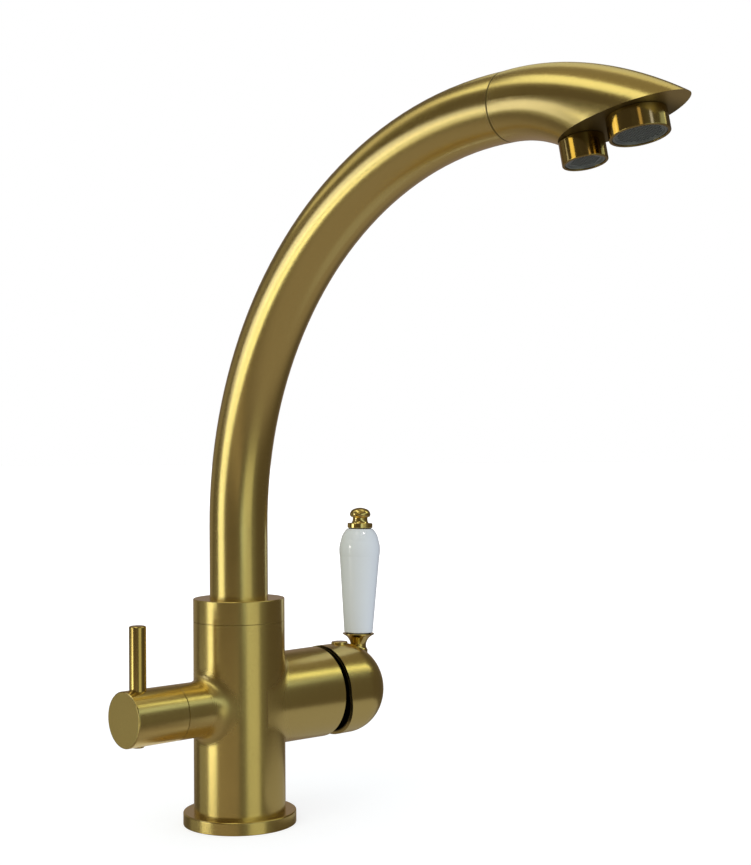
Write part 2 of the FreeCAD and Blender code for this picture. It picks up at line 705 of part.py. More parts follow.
head_skin = cut("head_skin", head_form, below_flat("flat_block", 0))
head_solid = join("head_solid", [head_skin, spigot])
head_cavity = cut("head_cavity", head_hollow, below_flat("floor_block", S("head_floor")))
cut("spout_head_cut", head_solid, [
    head_cavity, spigot_hole,
    outlet_rod("main_hole", S("main_hole"), S("main_along"), S("head_floor") + 2, S("head_floor") + 4),
    outlet_rod("filter_hole", S("filter_hole"), S("filter_along"), S("head_floor") + 2, S("head_floor") + 4),
], "spout_head")


def outlet_body(label, along):
    oy_, oz_ = on_flat(along)
    return new_body(label, (0, oy_, oz_), (1, 0, 0), 180 - slope)


for which, along, r, drop, hole, seat_r, lip in (
        ("main", S("main_along"), S("main_radius"), S("main_drop"), S("main_hole"), 10.45, 7.6),
        ("filter", S("filter_along"), S("filter_radius"), S("filter_drop"), S("filter_hole"), 7.85, None)):
    sleeve = outlet_body(which + "_outlet_sleeve", along)
    if which == "main":
        turn(sleeve, "sleeve", [
            (lip, -S("head_floor") + 0.2), (hole - 0.05, -S("head_floor") + 0.2), (hole - 0.05, 0.02),
            (r, 0.02), (r, drop), (seat_r, drop), (seat_r, 1.8), (lip, 1.8)])
    else:
        turn(sleeve, "sleeve", [
            (4.05, -S("head_floor") - 1.5), (hole - 0.05, -S("head_floor") - 1.5), (hole - 0.05, 0.02),
            (r, 0.02), (r, drop), (seat_r, drop), (seat_r, 2.0), (3.2, 2.0), (3.2, -0.5), (4.05, -0.5)])
    soften(sleeve, "rim_edges", 0.35, any_of(round_at(drop, r), round_at(0.02, r)))
    soften(sleeve, "rim_inner_edge", 0.2, round_at(drop, seat_r))
    insert = outlet_body(which + "_aerator", along)
    top = 2.85 if which == "main" else 3.05
    turn(insert, "aerator_cup", [
        (0, top), (seat_r - 0.05, top), (seat_r - 0.05, drop - 0.55), (seat_r - 0.35, drop - 0.4),
        (seat_r - 0.95, drop - 0.4), (seat_r - 1.25, drop - 1.0), (0, drop - 1.0)])

washers = []
for which, along, outer, inner, start in (("main", S("main_along"), 10.3, 7.7, 1.8),
                                          ("filter", S("filter_along"), 7.7, 4.2, 2.0)):
    big = outlet_rod(which + "_washer_disc", outer, along, -start, 1.0)
    small = outlet_rod(which + "_washer_hole", inner, along, -start + 1, 3.0)
    washers.append(cut(which + "_washer", big, small))
pair = doc.addObject("Part::Compound", "aerator_washers")
pair.Links = washers
pair.Label = "aerator_washers"
NODES["aerator_washers"] = pair

# ---------------------------------------------------------------- mixer cartridge
# These bodies have their origin on the branch axis, with their own X along it.
on_branch = (0, 0, H)
PX = S("pivot_x")
PB = -S("port_drop")


def ports(body, name, radius, x_start, length):
    sk = circles(body, name + "_sketch", "YZ_Plane",
                 [(hot[1], PB, radius), (-hot[1], PB, radius), (0, S("port_rise"), radius)], x_start)
    return pocket(body, name, sk, length, reverse=True)


gs = new_body("cartridge_seal", on_branch)
turn(gs, "seal_disc", [(S("seat_x"), 0), (S("seat_x") + 1, 0), (S("seat_x") + 1, 15.5), (S("seat_x"), 15.5)],
     about="H_Axis")
ports(gs, "seal_ports", 3.4, S("seat_x") - 0.5, 3)

house = new_body("cartridge_housing", on_branch)
turn(house, "housing_shell", [
    (26, 0), (26, S("cartridge_radius")), (41, S("cartridge_radius")), (41, 16.4), (46, 16.4), (46, 13.4),
    (50, 13.4), (50, 11.7), (44, 11.7), (44, 15.2), (28.5, 15.2), (28.5, 0)], about="H_Axis")
ports(house, "housing_ports", 3.4, 25.5, 4)

fixed = new_body("fixed_ceramic_disc", on_branch)
turn(fixed, "fixed_disc", [(28.55, 0), (32.0, 0), (32.0, 15.1), (28.55, 15.1)], about="H_Axis")
ports(fixed, "fixed_ports", 3.0, 28, 5)

moving = new_body("moving_ceramic_disc", on_branch)
turn(moving, "moving_disc", [(32.1, 0), (34.85, 0), (34.85, 11.5), (32.1, 11.5)], about="H_Axis")
mix_sk = circles(moving, "mixing_recess_sketch", "YZ_Plane", [(0, 1.5, 7.0)], 31.5)
pocket(moving, "mixing_recess", mix_sk, 2.1, reverse=True)

driver = new_body("disc_driver", on_branch)
turn(driver, "driver_disc", [(34.9, 3.35), (34.9, 10.8), (39.6, 10.8), (39.9, 10.5), (39.9, 3.35)], about="H_Axis")

carrier = new_body("cartridge_carrier", on_branch)
turn(carrier, "turret", [(40.2, 0), (40.2, 15.1), (43.9, 15.1), (43.9, 11.64), (51, 11.64), (51, 0)], about="H_Axis")
slot = outline(carrier, "lever_slot_sketch", "YZ_Plane", rectangle(-3.8, -6.8, 3.8, 6.8), 40)
pocket(carrier, "lever_slot", slot, 12, reverse=True)
pin_sk = circles(carrier, "pin_hole_sketch", "XZ_Plane", [(PX, 0, 1.52)])
pocket(carrier, "pin_hole", pin_sk, 40, both=True)

cpin = new_body("stem_pin", on_branch)
pin_sk = circles(cpin, "stem_pin_sketch", "XZ_Plane", [(PX, 0, 1.5)], -11.2)
pad(cpin, "stem_pin_pad", pin_sk, 22.4)

stem = new_body("cartridge_stem", on_branch)
ball_x = PX - S("ball_arm")
turn(stem, "ball_end", [
    (ball_x - 2.958, 0), (ball_x - 2.958, 0.5, 3.0, -1), (ball_x + 2.0396, 2.2), (42, 2.2), (42, 0)],
    about="H_Axis")
bar = outline(stem, "stem_bar_sketch", "YZ_Plane", rectangle(-3.5, -3.5, 3.5, 3.5), 41.5)
pad(stem, "stem_bar", bar, 31.0)
hole = circles(stem, "stem_hole_sketch", "XZ_Plane", [(PX, 0, 1.57)])
pocket(stem, "stem_hole", hole, 20, both=True)

nut = new_body("cartridge_nut", on_branch)
turn(nut, "nut_ring", [
    (41.05, 16.6), (41.05, 19.3), (50.6, 19.3), (51.2, 18.6), (53.6, 18.6), (54.0, 18.2), (54.0, 14.2),
    (46.1, 14.2), (46.1, 16.6)], about="H_Axis")

# ---------------------------------------------------------------- dome handle
DR = S("dome_radius")
dome_shell = join("dome_shell", [
    rod("dome_barrel", DR, S("dome_straight_x") - 50, (50, 0, H), *ALONG_X),
    solid("Ellipsoid", "dome_nose", {"Radius1": S("dome_nose"), "Radius2": DR, "Radius3": DR,
                                     "Angle1": 0, "Angle2": 90, "Angle3": 360},
          (S("dome_straight_x"), 0, H), *ALONG_X)])
dome_bore = cut("dome_bore", rod("dome_bore_rod", S("dome_bore"), S("dome_bore_x") - 49, (49, 0, H), *ALONG_X),
                rod("dome_hub", S("hub_radius"), S("dome_bore_x") - 56.5 + 1, (56.5, 0, H), *ALONG_X))
BX = S("button_x")
dome_tools = [
    dome_bore,
    solid("Box", "rim_block", {"Length": S("dome_rim_x") - 45, "Width": 60, "Height": 60}, (45, -30, H - 30)),
    solid("Box", "slope_block", {"Length": 40, "Width": 60, "Height": 60},
          (S("dome_rim_x") - 40 * cos(S("rim_slope")) + 60 * sin(S("rim_slope")), -30,
           H - 40 * sin(S("rim_slope")) - 60 * cos(S("rim_slope"))), (0, 1, 0), -S("rim_slope")),
    solid("Box", "stem_socket", {"Length": 17.3, "Width": 7.06, "Height": 7.06}, (56, -3.53, H - 3.53)),
    rod("grub_way", 2.5, 7.5, (BX, 0, H + 3)),
    rod("button_way", 3.3, 6, (BX, 0, 77)),
    rod("button_seat", S("button_radius") + 0.05, 4, (BX, 0, 81.0)),
    rod("cup_seat", 5.05, 12, (S("lever_x") - 2.05 * sin(S("lever_lean")), 0, S("lever_z") - 2.05 * cos(S("lever_lean"))),
        (0, 1, 0), S("lever_lean")),
    rod("rod_way", 3.02, 14, (S("lever_x") - 13 * sin(S("lever_lean")), 0, S("lever_z") - 13 * cos(S("lever_lean"))),
        (0, 1, 0), S("lever_lean")),
]
cut("dome_cut", dome_shell, dome_tools, "mixer_handle_dome")

button = new_body("handle_index_button", (BX, 0, 0))
turn(button, "button_head", [
    (0, 78.6), (3.25, 78.6), (3.25, 81.0), (S("button_radius"), 81.0), (S("button_radius"), 82.3, 0.45, 1),
    (S("button_radius") - 0.45, 82.72, 40.0, 1), (0.5, S("button_top")), (0, S("button_top"))])

grub = new_body("handle_grub_screw", (BX, 0, H))
turn(grub, "grub_body", [(0, 3.55), (1.6, 3.55), (2.45, 4.3), (2.45, 8.2), (2.2, 8.4), (0, 8.4)])
pocket(grub, "grub_hex", outline(grub, "grub_hex_sketch", "XY_Plane", polygon_points(6, 2.5), 8.4), 2.5)

lever_at = ((S("lever_x"), 0, S("lever_z")), (0, 1, 0), S("lever_lean"))
cup = new_body("lever_cup", *lever_at)
turn(cup, "cup_turned", [
    (3.02, -2.0), (5.0, -2.0), (5.0, 0.5, 2.6, -1), (S("cup_neck"), 2.2), (S("cup_neck"), 3.4, 6.5, -1),
    (7.75, 8.1), (S("cup_rim"), 8.45), (S("cup_rim"), S("cup_top") - 0.2), (S("cup_rim") - 0.25, S("cup_top")),
    (3.02, S("cup_top"))])

PT = S("porcelain_top")
porcelain = new_body("porcelain_lever", *lever_at)
turn(porcelain, "porcelain_turned", [
    (3.3, 9.42), (S("porcelain_foot") - 0.5, 9.42, 0.5, 1), (S("porcelain_foot"), 9.92),
    (S("porcelain_belly") - 0.12, S("porcelain_belly_z") - 5.0, 16.0, 1),
    (S("porcelain_belly") - 0.55, S("porcelain_belly_z") + 3.2, 11.0, 1),
    (S("porcelain_mouth"), PT - 0.5, 0.6, 1), (S("porcelain_mouth") - 0.5, PT - 0.42), (3.3, PT - 0.42)])

FZ = PT
finial = new_body("lever_finial", *lever_at)
turn(finial, "finial_turned", [
    (0, FZ), (S("finial_disc") - 0.25, FZ), (S("finial_disc"), FZ + 0.25), (S("finial_disc"), FZ + 2.3),
    (S("finial_disc") - 0.3, FZ + 2.6), (4.6, FZ + 2.6, 3.4, -1), (3.95, FZ + 4.6), (3.95, FZ + 5.4, 0.5, -1),
    (4.35, FZ + 5.75), (4.9, FZ + 5.85, 1.9, 1), (S("finial_knob") - 0.35, FZ + 8.3, 3.3, 1),
    (3.0, FZ + 10.2, 9.5, 1), (0.5, S("finial_top")), (0, S("finial_top"))])
groove(finial, "finial_thread", [(0, FZ - 1), (3.03, FZ - 1), (3.03, FZ + 5.2), (0, FZ + 5.2)])

lrod = new_body("lever_rod", *lever_at)
turn(lrod, "rod_turned", [
    (0, -12.5), (2.6, -12.5), (3.0, -12.1), (3.0, FZ + 4.6), (2.6, FZ + 5.0), (0, FZ + 5.0)])

soft = []
for tag, z in (("low", S("cup_top")), ("high", PT - 0.42)):
    ly = [lever_at[0][0] + z * sin(S("lever_lean")), 0, lever_at[0][2] + z * cos(S("lever_lean"))]
    outer_r = S("porcelain_foot") - 0.9 if tag == "low" else S("finial_disc") - 0.7
    big = rod(tag + "_washer_disc", outer_r, 0.42, ly, (0, 1, 0), S("lever_lean"))
    ly2 = [lever_at[0][0] + (z - 1) * sin(S("lever_lean")), 0, lever_at[0][2] + (z - 1) * cos(S("lever_lean"))]
    small = rod(tag + "_washer_hole", 3.05, 3, ly2, (0, 1, 0), S("lever_lean"))
    soft.append(cut(tag + "_lever_washer", big, small))
pair = doc.addObject("Part::Compound", "lever_washers")
pair.Links = soft
pair.Label = "lever_washers"
NODES["lever_washers"] = pair

# ---------------------------------------------------------------- filter valve
# Own X points to -X of the tap.
out_left = ((0, 0, H), (0, 0, 1), 180)
V = S("valve_seat")


def two_ports(body, name, radius, x_start, length):
    sk = circles(body, name + "_sketch", "YZ_Plane", [(0, -4, radius), (0, 4, radius)], x_start)
    return pocket(body, name, sk, length, reverse=True)


vs = new_body("filter_valve_seal", *out_left)
turn(vs, "valve_seal_disc", [(V, 0), (V + 1.2, 0), (V + 1.2, 7.3), (V, 7.3)], about="H_Axis")
two_ports(vs, "valve_seal_ports", 1.8, V - 0.5, 3)

fd = new_body("filter_fixed_disc", *out_left)
turn(fd, "filter_fixed", [(V + 1.25, 0), (V + 4.3, 0), (V + 4.3, 7.3), (V + 1.25, 7.3)], about="H_Axis")
two_ports(fd, "filter_fixed_ports", 1.8, V + 0.5, 5)

md = new_body("filter_moving_disc", *out_left)
turn(md, "filter_moving", [(V + 4.4, 0), (V + 7.6, 0), (V + 7.6, 7.1), (V + 4.4, 7.1)], about="H_Axis")
recess = outline(md, "filter_recess_sketch", "YZ_Plane", rectangle(-6.0, -1.9, 6.0, 1.9), V + 4)
pocket(md, "filter_recess", recess, 2.2, reverse=True)

vh = new_body("filter_valve_housing", *out_left)
turn(vh, "valve_shell", [
    (V + 1.3, 7.4), (V + 1.3, 9.5), (V + 12, 9.5), (V + 12, 8.0), (V + 14, 8.0), (V + 14, 9.5),
    (S("filter_boss_reach"), 9.5), (S("filter_boss_reach"), 6.5), (44.5, 6.5), (44.5, 4.06),
    (V + 10.8, 4.06), (V + 10.8, 7.4)], about="H_Axis")

vr = solid("Torus", "filter_valve_o_ring", {"Radius1": 8.78, "Radius2": 0.76}, (-(V + 13), 0, H), *ALONG_X)
vr.Label = "filter_valve_o_ring"
NODES["filter_valve_o_ring"] = vr

sp = new_body("filter_spindle", *out_left)
turn(sp, "spindle_turned", [
    (V + 7.65, 0), (V + 7.65, 7.0), (V + 10.6, 7.0), (V + 10.6, 4.0), (40.0, 4.0), (40.0, 2.9), (41.4, 2.9),
    (41.4, 4.0), (54.7, 4.0), (55.0, 3.7), (55.0, 0)], about="H_Axis")
flat = outline(sp, "spindle_flat_sketch", "YZ_Plane", rectangle(-5, -5, 5, -3.3), 47.5)
pocket(sp, "spindle_flat", flat, 6, reverse=True)

sr = solid("Torus", "spindle_o_ring", {"Radius1": 3.46, "Radius2": 0.54}, (-40.7, 0, H), *ALONG_X)
sr.Label = "spindle_o_ring"
NODES["spindle_o_ring"] = sr

KR = S("filter_boss_radius")
knob = new_body("filter_handle", *out_left)
turn(knob, "knob_turned", [
    (S("knob_start"), 10.2), (S("knob_start"), KR), (S("knob_end"), KR), (S("knob_end"), 0),
    (55.2, 0), (55.2, 4.05), (46, 4.05), (46, 10.2)], about="H_Axis")
pin_hole = circles(knob, "lever_pin_hole_sketch", "XY_Plane", [(S("pin_reach"), 0, S("pin_radius") + 0.03)],
                   S("pin_shoulder") - H)
pocket(knob, "lever_pin_hole", pin_hole, 20, reverse=True)
thread_hole = circles(knob, "pin_thread_hole_sketch", "XY_Plane", [(S("pin_reach"), 0, S("pin_thread") + 0.03)])
pocket(knob, "pin_thread_hole", thread_hole, 60, both=True)
grub_hole = circles(knob, "grub_hole_sketch", "XY_Plane", [(50.5, 0, 2.0)])
pocket(knob, "grub_hole", grub_hole, 20)
soften(knob, "knob_end_edge", 0.6, round_at(S("knob_end"), KR, axis="x"))
soften(knob, "knob_start_edge", 0.12, round_at(S("knob_start"), KR, axis="x"))

lp = new_body("filter_lever_pin", (-S("pin_reach"), 0, 0))
turn(lp, "pin_turned", [
    (0, S("pin_foot")), (S("pin_thread") - 0.4, S("pin_foot")), (S("pin_thread"), S("pin_foot") + 0.4),
    (S("pin_thread"), S("pin_shoulder")), (S("pin_radius"), S("pin_shoulder")),
    (S("pin_radius"), S("pin_top") - 0.9, 0.8, 1), (S("pin_radius") - 0.7, S("pin_top") - 0.25, 16.0, 1),
    (0.5, S("pin_top")), (0, S("pin_top"))])

fg = new_body("filter_grub_screw", (-50.5, 0, H))
turn(fg, "filter_grub_turned", [
    (0, -3.35), (1.2, -3.35), (1.95, -4.1), (1.95, -11.8), (1.7, -12.0), (0, -12.0)])
pocket(fg, "filter_grub_hex", outline(fg, "filter_grub_hex_sketch", "XY_Plane", polygon_points(6, 2.0), -12.0), 2.2,
       reverse=True)

doc.recompute()

# ---------------------------------------------------------------- checks, then output
faults = []
for obj in doc.Objects:
    if any(word in obj.State for word in ("Invalid", "Error")):
        faults.append("%s is %s" % (obj.Label, obj.State))
for label, obj in NODES.items():
    shape = obj.Shape
    if shape.isNull():
        faults.append("%s is null" % label)
    elif not shape.isValid():
        faults.append("%s is not valid" % label)
    elif not shape.Solids:
        faults.append("%s has no solid" % label)
if faults:
    raise RuntimeError("; ".join(faults))

os.makedirs("parts", exist_ok=True)
for label, obj in NODES.items():
    shape = obj.Shape
    box = shape.BoundBox
    print("%-24s solids %d volume %9.1f  x %.2f..%.2f  y %.2f..%.2f  z %.2f..%.2f" % (
        label, len(shape.Solids), shape.Volume, box.XMin, box.XMax, box.YMin, box.YMax, box.ZMin, box.ZMax))
    shape.exportStep("parts/%s.step" % label)
print("nodes", len(NODES))
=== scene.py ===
import json
import math

import bmesh
import bpy
import numpy as np
from mathutils import Matrix, Vector
from mathutils.geometry import delaunay_2d_cdt

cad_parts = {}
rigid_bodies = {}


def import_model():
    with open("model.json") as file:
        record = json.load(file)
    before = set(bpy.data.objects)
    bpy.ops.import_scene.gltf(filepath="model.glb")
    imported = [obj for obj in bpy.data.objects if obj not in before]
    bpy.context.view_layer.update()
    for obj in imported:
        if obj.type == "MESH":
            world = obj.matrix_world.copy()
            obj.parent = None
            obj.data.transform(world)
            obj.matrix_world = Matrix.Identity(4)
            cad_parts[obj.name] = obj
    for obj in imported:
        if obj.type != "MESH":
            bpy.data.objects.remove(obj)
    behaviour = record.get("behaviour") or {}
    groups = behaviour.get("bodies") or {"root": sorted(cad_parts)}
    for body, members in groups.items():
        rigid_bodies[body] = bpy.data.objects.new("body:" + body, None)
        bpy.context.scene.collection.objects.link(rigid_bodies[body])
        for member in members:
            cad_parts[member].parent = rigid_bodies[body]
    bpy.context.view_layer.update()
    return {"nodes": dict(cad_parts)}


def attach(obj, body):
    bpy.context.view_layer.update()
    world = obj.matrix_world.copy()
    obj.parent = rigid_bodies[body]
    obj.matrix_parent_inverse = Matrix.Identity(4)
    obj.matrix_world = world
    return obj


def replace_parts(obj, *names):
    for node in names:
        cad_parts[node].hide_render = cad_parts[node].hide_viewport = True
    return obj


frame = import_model()

MM = 0.001
scene = bpy.context.scene

# ------------------------------------------------------------------ sizes, mm
H = 58.5                                     # height of the branch axis
BODY_R, BODY_TOP = 22.5, 99.1
TUBE_R, BEND_R, BEND_Z, BEND_ANGLE = 14.35, 175.9, 145.7, 91.69
SLOPE = math.radians(11.51)
FLAT = np.array([0.0, -240.0, 306.8])
DOWN = np.array([0.0, -math.sin(SLOPE), -math.cos(SLOPE)])    # out of the head's flat
TIP = np.array([0.0, -math.cos(SLOPE), math.sin(SLOPE)])      # along the flat, to the tip
LEAN = math.radians(1.63)


# ------------------------------------------------------------------ node graphs
class Net:
    """A material's node tree, with short calls for the nodes used here."""

    def __init__(self, name):
        self.mat = bpy.data.materials.new(name)
        self.mat.use_nodes = True
        self.nt = self.mat.node_tree
        self.nt.nodes.clear()
        self.out = self.nt.nodes.new("ShaderNodeOutputMaterial")
        self.bsdf = self.nt.nodes.new("ShaderNodeBsdfPrincipled")
        self.nt.links.new(self.bsdf.outputs[0], self.out.inputs["Surface"])

    def put(self, socket, value):
        if isinstance(value, bpy.types.NodeSocket):
            self.nt.links.new(value, socket)
        elif value is not None:
            socket.default_value = value

    def node(self, kind, **props):
        n = self.nt.nodes.new(kind)
        for k, v in props.items():
            setattr(n, k, v)
        return n

    def math(self, op, a, b=None, c=None, clamp=False):
        n = self.node("ShaderNodeMath", operation=op, use_clamp=clamp)
        for s, v in zip(n.inputs, (a, b, c)):
            self.put(s, v)
        return n.outputs[0]

    def vec(self, op, a, b=None, scale=None):
        n = self.node("ShaderNodeVectorMath", operation=op)
        self.put(n.inputs[0], a)
        if b is not None:
            self.put(n.inputs[1], b)
        if scale is not None:
            self.put(n.inputs["Scale"], scale)
        return n.outputs["Value"] if op in ("LENGTH", "DOT_PRODUCT") else n.outputs["Vector"]

    def noise(self, vector, scale, detail=3.0, rough=0.5, distortion=0.0):
        n = self.node("ShaderNodeTexNoise")
        self.put(n.inputs["Vector"], vector)
        n.inputs["Scale"].default_value = scale
        n.inputs["Detail"].default_value = detail
        n.inputs["Roughness"].default_value = rough
        n.inputs["Distortion"].default_value = distortion
        return n.outputs[0]

    def span(self, value, low, high, to_low, to_high, smooth=False):
        n = self.node("ShaderNodeMapRange")
        if smooth:
            n.interpolation_type = "SMOOTHSTEP"
        for s, v in zip(n.inputs, (value, low, high, to_low, to_high)):
            self.put(s, v)
        return n.outputs[0]

    def mix(self, share, a, b):
        n = self.node("ShaderNodeMix", data_type="RGBA")
        self.put(n.inputs[0], share)
        self.put(n.inputs[6], a)
        self.put(n.inputs[7], b)
        return n.outputs[2]

    def bump(self, height, strength, distance, normal=None):
        n = self.node("ShaderNodeBump")
        self.put(n.inputs["Normal"], normal)
        n.inputs["Strength"].default_value = strength
        n.inputs["Distance"].default_value = distance
        self.put(n.inputs["Height"], height)
        return n.outputs[0]

    def axis_vectors(self, origin, axis):
        """Around an axis: the noise vector of turning marks, and the direction along them."""
        t = self.node("ShaderNodeTexCoord")
        p = self.vec("SUBTRACT", t.outputs["Object"], Vector(origin))
        h = self.vec("DOT_PRODUCT", p, Vector(axis))
        flat = self.vec("SUBTRACT", p, self.vec("SCALE", Vector(axis), scale=h))
        r = self.vec("LENGTH", flat)
        unit = self.vec("NORMALIZE", flat)
        s = self.math("ADD", h, r)
        grain = self.vec("ADD", self.vec("SCALE", unit, scale=0.0005), self.vec("SCALE", Vector(axis), scale=s))
        round_ = self.vec("CROSS_PRODUCT", Vector(axis), unit)
        along = self.vec("CROSS_PRODUCT", t.outputs["Normal"], round_)
        turn = self.node("ShaderNodeVectorTransform", vector_type="VECTOR", convert_from="OBJECT", convert_to="WORLD")
        self.put(turn.inputs[0], along)
        return grain, turn.outputs[0]

    def world_normal(self, vector):
        turn = self.node("ShaderNodeVectorTransform", vector_type="NORMAL", convert_from="OBJECT", convert_to="WORLD")
        self.put(turn.inputs[0], vector)
        return self.vec("NORMALIZE", turn.outputs[0])

    def body_normal(self):
        """The branches are ground into the column by hand, so the light runs softly over the joins."""
        t = self.node("ShaderNodeTexCoord")
        x, y, z = self.split(t.outputs["Object"])
        z = self.math("SUBTRACT", z, H * MM)
        column, branch_ = self.join(x, y, 0.0), self.join(0.0, y, z)
        off_column = self.math("SUBTRACT", self.vec("LENGTH", column), BODY_R * MM)
        mixer_side = self.math("GREATER_THAN", x, 0.0)
        radius = self.math("ADD", self.math("MULTIPLY", mixer_side, 0.0225 - 0.01325), 0.01325)
        reach = self.math("ADD", self.math("MULTIPLY", mixer_side, 0.0026 - 0.0066), 0.0066)
        off_branch = self.math("SUBTRACT", self.vec("LENGTH", branch_), radius)
        step = self.math("DIVIDE", self.math("SUBTRACT", off_column, off_branch), reach)
        share = self.span(step, -1.0, 1.0, 0.0, 1.0, smooth=True)
        made = self.vec("NORMALIZE", self.blend_vectors(share, self.vec("NORMALIZE", column), self.vec("NORMALIZE", branch_)))
        agree = self.span(self.vec("DOT_PRODUCT", made, t.outputs["Normal"]), 0.50, 0.88, 0.0, 1.0, smooth=True)
        return self.world_normal(self.blend_vectors(agree, t.outputs["Normal"], made)), share

    def blend_vectors(self, share, a, b):
        n = self.node("ShaderNodeMix", data_type="VECTOR")
        self.put(n.inputs[0], share)
        self.put(n.inputs[4], a)
        self.put(n.inputs[5], b)
        return n.outputs[1]

    def body_vectors(self):
        """The upright column is turned about Z and its two branches about X."""
        up_grain, up_along = self.axis_vectors((0, 0, 0), (0, 0, 1))
        side_grain, side_along = self.axis_vectors((0, 0, H * MM), (1, 0, 0))
        x, y, z = self.split(self.node("ShaderNodeTexCoord").outputs["Object"])
        off = self.math("POWER", self.math("ADD", self.math("MULTIPLY", x, x), self.math("MULTIPLY", y, y)), 0.5)
        share = self.span(off, 0.0227, 0.0262, 0.0, 1.0, smooth=True)
        return self.blend_vectors(share, up_grain, side_grain), self.blend_vectors(share, up_along, side_along)

    def split(self, vector):
        n = self.node("ShaderNodeSeparateXYZ")
        self.put(n.inputs[0], vector)
        return n.outputs[0], n.outputs[1], n.outputs[2]

    def join(self, x, y, z):
        n = self.node("ShaderNodeCombineXYZ")
        for s, v in zip(n.inputs, (x, y, z)):
            self.put(s, v)
        return n.outputs[0]

    def bend_vectors(self):
        """Along the spout: straight up from the collar, then round the bend and on into the head."""
        place = self.node("ShaderNodeTexCoord").outputs["Object"]
        w = self.vec("SUBTRACT", place, Vector((0.0, -BEND_R * MM, BEND_Z * MM)))
        x, y, z = self.split(w)
        up = self.math("MAXIMUM", z, 0.0)
        radial = self.math("POWER", self.math("ADD", self.math("MULTIPLY", y, y), self.math("MULTIPLY", up, up)), 0.5)
        turn_ = self.math("MULTIPLY", self.math("ARCTAN2", up, y), BEND_R * MM)
        travel = self.math("ADD", turn_, self.math("MINIMUM", z, 0.0))
        self.travel = travel
        out = self.math("SUBTRACT", radial, BEND_R * MM)
        round_ = self.vec("SCALE", self.vec("NORMALIZE", self.join(x, out, 0.0)), scale=0.0005)
        grain = self.vec("ADD", round_, self.join(0.0, 0.0, travel))
        along = self.vec("NORMALIZE", self.join(0.0, self.math("MULTIPLY", up, -1.0), y))
        turn = self.node("ShaderNodeVectorTransform", vector_type="VECTOR", convert_from="OBJECT", convert_to="WORLD")
        self.put(turn.inputs[0], along)
        return grain, turn.outputs[0]


def brass(name, rough=0.22, aniso=0.3, colour=(0.80, 0.625, 0.245), marks=1.0, axis=None, mottle=1.0, form=None, painted_shade=None, extra=None,
          level=None):
    """Brushed gold-toned brass: turning marks run round the piece, so its lights stretch along it."""
    n = Net(name)
    if form == "bend":
        grain, along = n.bend_vectors()
    elif form == "body":
        grain, along = n.body_vectors()
    else:
        grain, along = n.axis_vectors(*axis)
    place = n.node("ShaderNodeTexCoord").outputs["Object"]
    fine = n.noise(grain, 3400.0, 2.0, 0.6)
    broad = n.noise(grain, 800.0, 3.0, 0.6)
    cloud = n.noise(place, 55.0, 3.0, 0.55)
    lines = n.math("ADD", n.math("MULTIPLY", fine, 0.6), n.math("MULTIPLY", broad, 0.4))
    speck = n.noise(place, 1500.0, 2.0, 0.6)
    tone = n.math("ADD", n.math("MULTIPLY", n.math("SUBTRACT", lines, 0.5), 0.13 * marks),
                  n.math("MULTIPLY", n.math("SUBTRACT", cloud, 0.5), 0.12 * mottle))
    tone = n.math("ADD", tone, n.math("MULTIPLY", n.math("SUBTRACT", speck, 0.5), 1.1 * marks))
    light = tuple(min(1.0, c * 1.07) for c in colour) + (1.0,)
    dark = (colour[0] * 0.90, colour[1] * 0.885, colour[2] * 0.83, 1.0)
    tint = n.mix(n.math("ADD", tone, 0.5, clamp=True), dark, light)
    gloss = n.math("ADD", n.math("ADD", rough, n.math("MULTIPLY", n.math("SUBTRACT", lines, 0.5), 0.08 * marks)),
                   n.math("MULTIPLY", n.math("SUBTRACT", cloud, 0.5), 0.05 * mottle), clamp=True)
    if extra:
        gloss = n.math("ADD", gloss, extra(n), clamp=True)
    if painted_shade:                                   # painted shade: faces in the gaps, at the seam and under the head are painted dark, and made a little rougher
        inner = painted_shade(n)
        tint = n.mix(inner, tint, (0.035, 0.026, 0.016, 1.0))
        gloss = n.math("ADD", gloss, n.math("MULTIPLY", inner, 0.35), clamp=True)
    n.put(n.bsdf.inputs["Base Color"], tint)
    n.put(n.bsdf.inputs["Roughness"], gloss)
    under = n.body_normal()[0] if form == "body" else None
    n.put(n.bsdf.inputs["Normal"], n.bump(lines, 0.045 * marks, 0.00008, under))
    n.bsdf.inputs["Metallic"].default_value = 1.0
    if level:                                    # flat end faces have no turning marks
        n.put(n.bsdf.inputs["Anisotropic"], n.math("MULTIPLY", level(n), aniso))
    else:
        n.bsdf.inputs["Anisotropic"].default_value = aniso
    n.put(n.bsdf.inputs["Tangent"], along)
    return n.mat


def body_end_painted_shade(n):
    """Painted shade: the end face of the mixer branch, inside the gap behind the dome, is painted near black."""
    t = n.node("ShaderNodeTexCoord")
    x = n.split(t.outputs["Object"])[0]
    facing = n.split(t.outputs["Normal"])[0]
    return n.math("MULTIPLY", n.span(facing, 0.75, 0.95, 0.0, 1.0), n.math("GREATER_THAN", x, 0.0495))


def dome_bore_painted_shade(n):
    """Painted shade: the bore of the dome is painted near black."""
    t = n.node("ShaderNodeTexCoord")
    x, y, z = n.split(t.outputs["Object"])
    r = n.vec("LENGTH", n.join(0.0, y, n.math("SUBTRACT", z, H * MM)))
    return n.math("MULTIPLY", n.span(r, 0.0212, 0.0222, 1.0, 0.0), n.math("LESS_THAN", x, 0.0712))


def body_joins(n):
    """Hand-finished joins are a little rougher than the turned faces."""
    share = n.body_normal()[1]
    return n.math("MULTIPLY", n.math("MULTIPLY", share, n.math("SUBTRACT", 1.0, share)), 0.36)


def knob_cap(n):
    """The knob's end face is brushed evenly, without turning marks."""
    facing = n.split(n.node("ShaderNodeTexCoord").outputs["Normal"])[0]
    return n.math("MULTIPLY", n.span(facing, -0.95, -0.99, 0.0, 1.0), 0.14)


